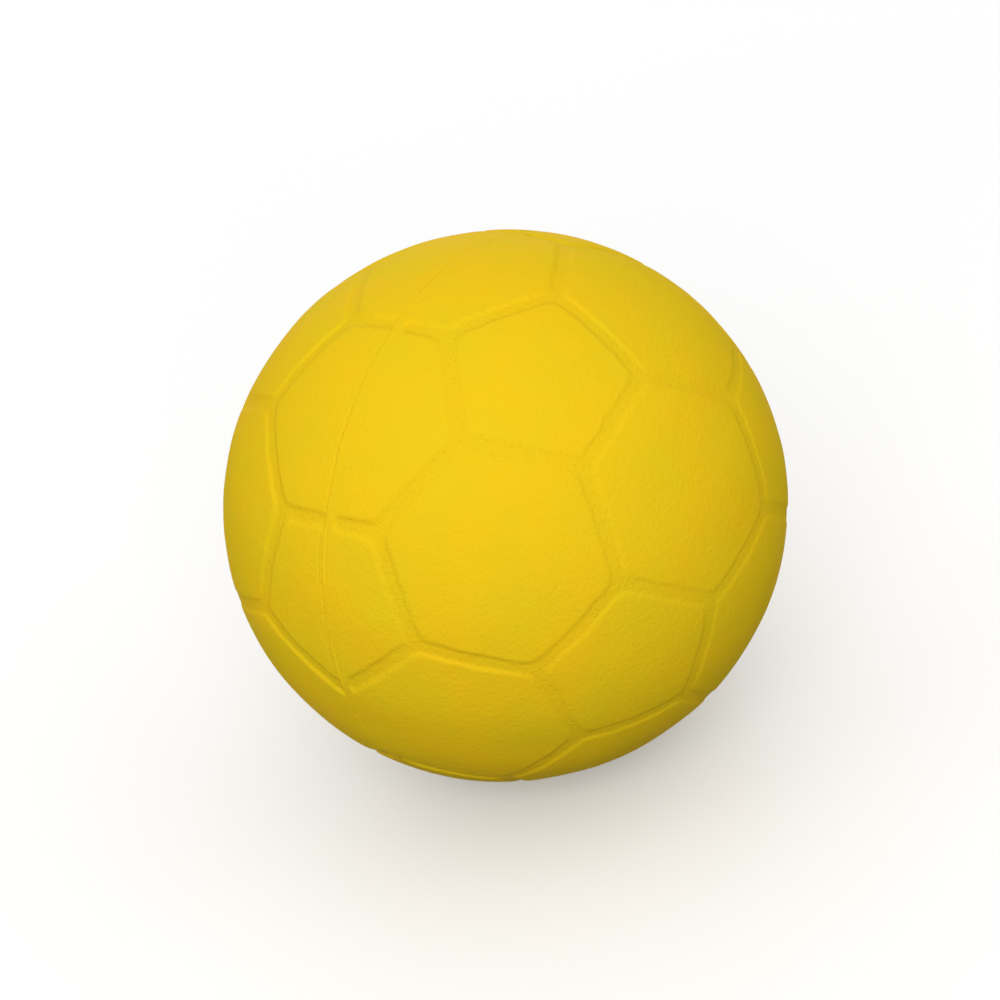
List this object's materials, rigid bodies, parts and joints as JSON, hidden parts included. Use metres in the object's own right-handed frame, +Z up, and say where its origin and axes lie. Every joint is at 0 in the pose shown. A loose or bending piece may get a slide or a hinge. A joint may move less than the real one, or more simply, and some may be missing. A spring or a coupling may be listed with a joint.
{
  "type": "stress ball",
  "caption": "Soft moulded foam ball with raised football panels, a parting seam and a small contact flat; its two skin halves press inward over a foam core.",
  "frame": {"origin": "on the surface that the ball stands on, at the middle of the contact flat and straight below the centre of the ball", "axes": "+Z up, through the middle of the top and bottom hexagons; X square to the mould's parting plane, with the left skin half on -X and the right one on +X"},
  "size_m": [0.063, 0.0632, 0.0608],
  "materials": {
    "skin": "matt moulded polyurethane skin with a fine pinhole grain",
    "foam": "open cellular polyurethane foam",
    "seam": "matt moulded polyurethane flash"
  },
  "bodies": {
    "core": {"foam_core": "foam", "parting_seam": "seam"},
    "left_side": {"skin_half_left": "skin"},
    "right_side": {"skin_half_right": "skin"}
  },
  "joints": [
    {"name": "squeeze_left", "type": "slide", "parent": "core", "child": "left_side", "axis": [1, 0, 0], "range_m": [0, 0.012], "stiffness_N_per_m": 1500, "deforming": ["skin_half_left", "foam_core", "parting_seam"]},
    {"name": "squeeze_right", "type": "slide", "parent": "core", "child": "right_side", "axis": [-1, 0, 0], "range_m": [0, 0.012], "stiffness_N_per_m": 1500, "deforming": ["skin_half_right"]}
  ],
  "couplings": [
    {"joint": "squeeze_right", "follows": "squeeze_left", "ratio": 1}
  ]
}
